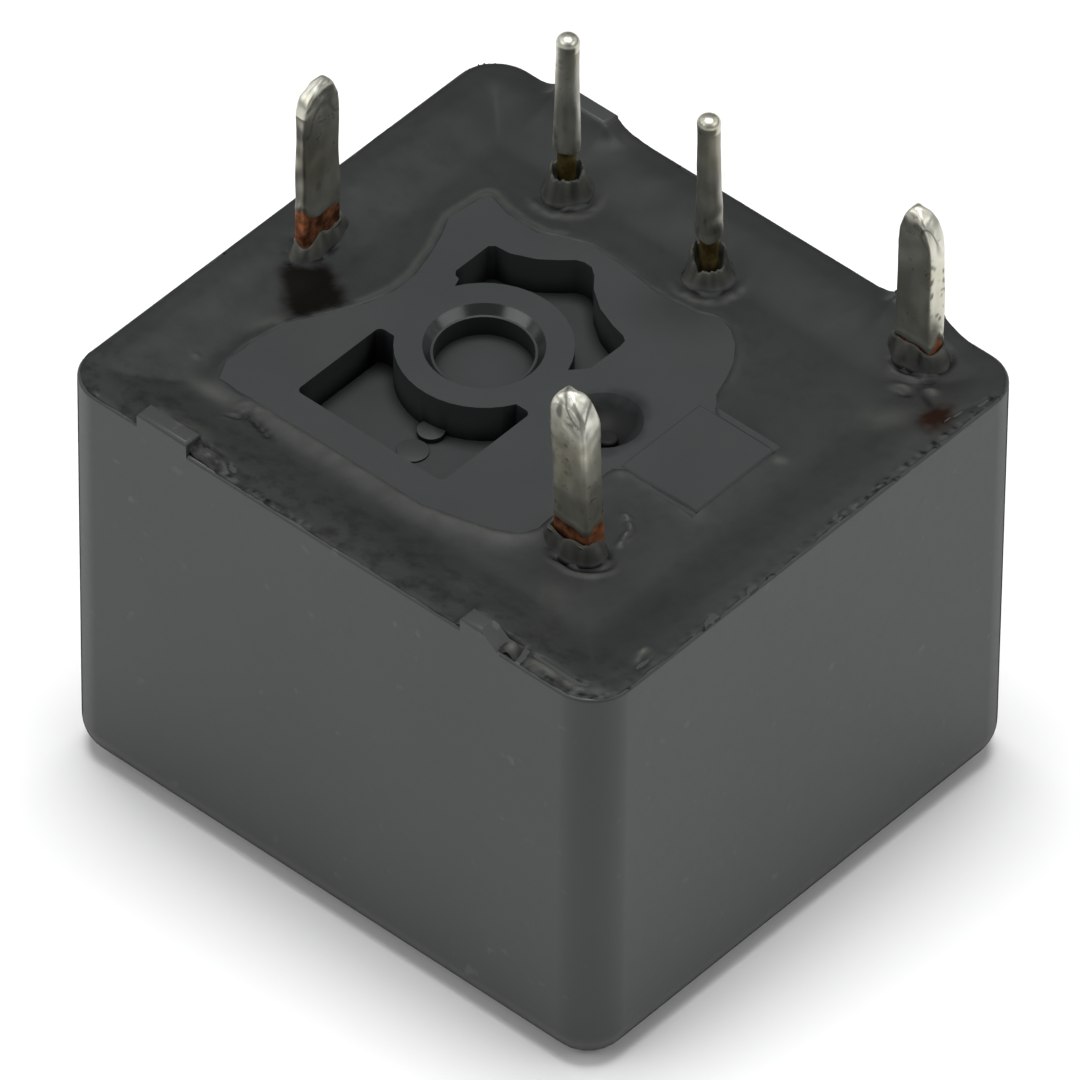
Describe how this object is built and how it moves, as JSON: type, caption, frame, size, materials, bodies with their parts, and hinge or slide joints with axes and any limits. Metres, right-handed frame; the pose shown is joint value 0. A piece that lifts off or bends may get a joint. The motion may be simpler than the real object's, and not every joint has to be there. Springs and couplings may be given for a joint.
{
  "type": "pcb power relay",
  "caption": "Sealed low-profile power relay for a printed circuit board: black cover, resin-sealed base, flat contact pins and thin coil pins.",
  "frame": {"origin": "centre of the cover's flat closed face, which the relay stands on with its pins up", "axes": "+Z towards the pin tips, +X towards the contact end of the long side, +Y towards the coil-pin side"},
  "size_m": [0.014, 0.0126, 0.0142],
  "materials": {
    "cover_plastic": "satin black moulding, lightly dusty",
    "base_plastic": "matte black moulding",
    "resin": "glossy black potting resin",
    "bobbin_plastic": "natural moulding",
    "magnet_wire": "enamelled copper wire",
    "soft_iron": "plated soft iron",
    "spring_alloy": "rolled copper alloy",
    "silver_contact": "silver alloy",
    "tinned_copper": "copper with a thick bright solder coat",
    "tinned_wire": "brass wire with a solder coat",
    "rivet_brass": "plain"
  },
  "bodies": {
    "housing": {"cover": "cover_plastic", "base": "base_plastic", "sealing_resin": "resin", "bobbin": "bobbin_plastic", "coil_winding": "magnet_wire", "coil_lead_1": "magnet_wire", "coil_lead_2": "magnet_wire", "core": "soft_iron", "yoke": "soft_iron", "no_contact": "silver_contact", "nc_contact": "silver_contact", "com_terminal": "tinned_copper", "no_terminal": "tinned_copper", "nc_terminal": "tinned_copper", "coil_terminal_1": "tinned_wire", "coil_terminal_2": "tinned_wire", "yoke_rivet_1": "rivet_brass", "yoke_rivet_2": "rivet_brass"},
    "armature": {"armature": "soft_iron", "contact_spring": "spring_alloy", "moving_contact": "silver_contact", "armature_rivet_1": "rivet_brass", "armature_rivet_2": "rivet_brass"}
  },
  "joints": [
    {"name": "armature_pivot", "type": "hinge", "parent": "housing", "child": "armature", "pos_m": [-0.00556, 0, 0.00305], "axis": [0, -1, 0], "range_deg": [0, 2.9], "stiffness_Nm_per_rad": 0.01, "springref_deg": -5.73, "deforming": ["contact_spring"]}
  ]
}
